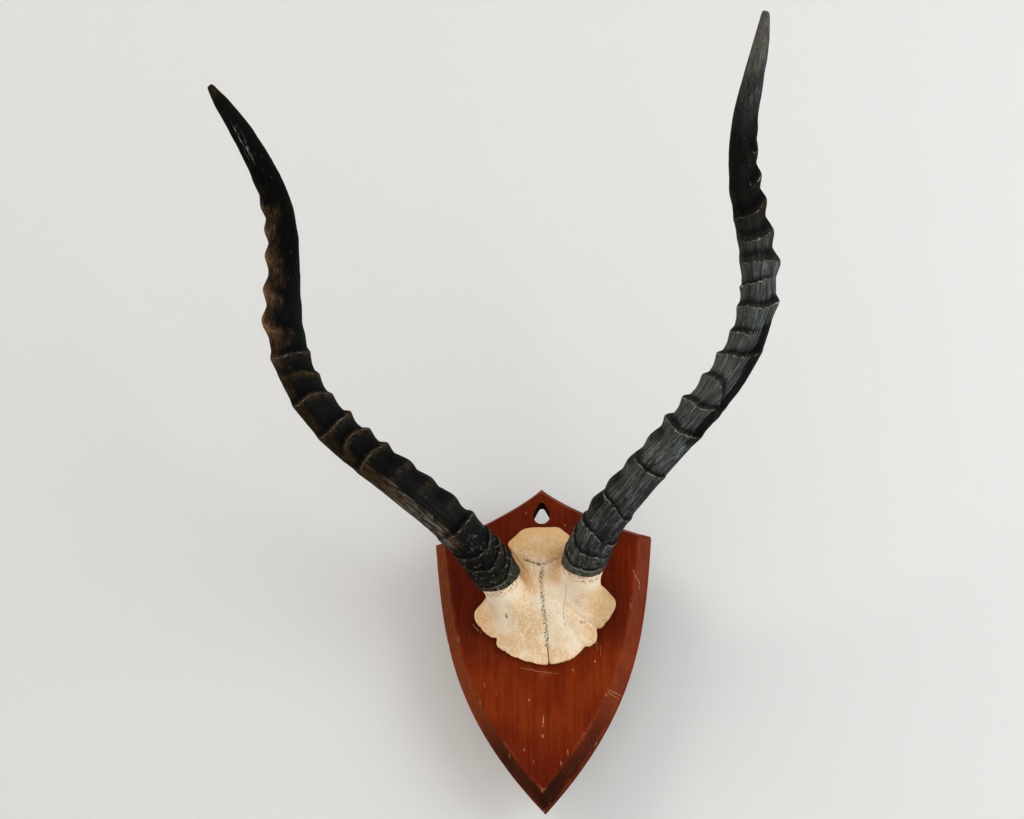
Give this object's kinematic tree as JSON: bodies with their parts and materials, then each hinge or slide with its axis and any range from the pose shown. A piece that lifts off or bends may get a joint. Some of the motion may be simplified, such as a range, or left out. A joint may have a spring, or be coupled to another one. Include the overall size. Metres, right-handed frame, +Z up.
{
  "type": "impala horn trophy",
  "caption": "Ringed impala horns on a sawn skull plate, screwed to a bevelled wooden shield with a pear-shaped hanging hole.",
  "frame": {"origin": "on the flat back of the shield, on its centre line, 148 mm below its top point and 137 mm above its tip", "axes": "+Y out of the back of the shield, into the wall; +Z up, towards the hanging hole and the horn tips; +X to the right as seen from the front"},
  "size_m": [0.4424, 0.3314, 0.5548],
  "materials": {
    "stained_wood": "red-brown stained hardwood, satin, rubbed along its arrises",
    "bone": "dry ivory bone, matt, with fine sutures and pores",
    "horn": "near-black keratin, ringed, finely striated, with dry brown dirt in the furrows",
    "screw_steel": "zinc-plated steel"
  },
  "bodies": {
    "root": {"shield": "stained_wood", "skull_plate": "bone", "horn_left": "horn", "horn_right": "horn", "screw_left": "screw_steel", "screw_right": "screw_steel"}
  },
  "joints": []
}
